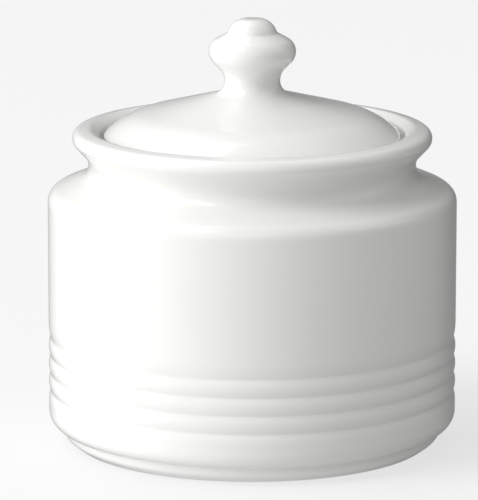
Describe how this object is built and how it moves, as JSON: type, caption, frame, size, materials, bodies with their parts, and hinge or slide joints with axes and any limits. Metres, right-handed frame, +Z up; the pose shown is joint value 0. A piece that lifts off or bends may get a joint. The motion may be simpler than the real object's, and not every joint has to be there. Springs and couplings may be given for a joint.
{
  "type": "sugar bowl",
  "caption": "Lidded round sugar bowl in white glazed porcelain, with grooves round its lower wall, a flared collar and a domed lift-off lid with a bulb knob.",
  "frame": {"origin": "centre of the standing face under the foot ring, on the surface that the bowl stands on", "axes": "+Z up, along the axis that bowl and lid are turned about; +X and +Y are any two level directions, because the object is round"},
  "size_m": [0.095, 0.095, 0.0996],
  "materials": {
    "bowl_glaze": "clear glossy glaze over white porcelain",
    "lid_glaze": "clear glossy glaze over white porcelain"
  },
  "bodies": {
    "bowl": {"bowl": "bowl_glaze"},
    "lid": {"lid": "lid_glaze"}
  },
  "joints": [
    {"name": "lid_lift", "type": "slide", "parent": "bowl", "child": "lid", "axis": [0, 0, 1], "range_m": [0, 0.06]}
  ]
}
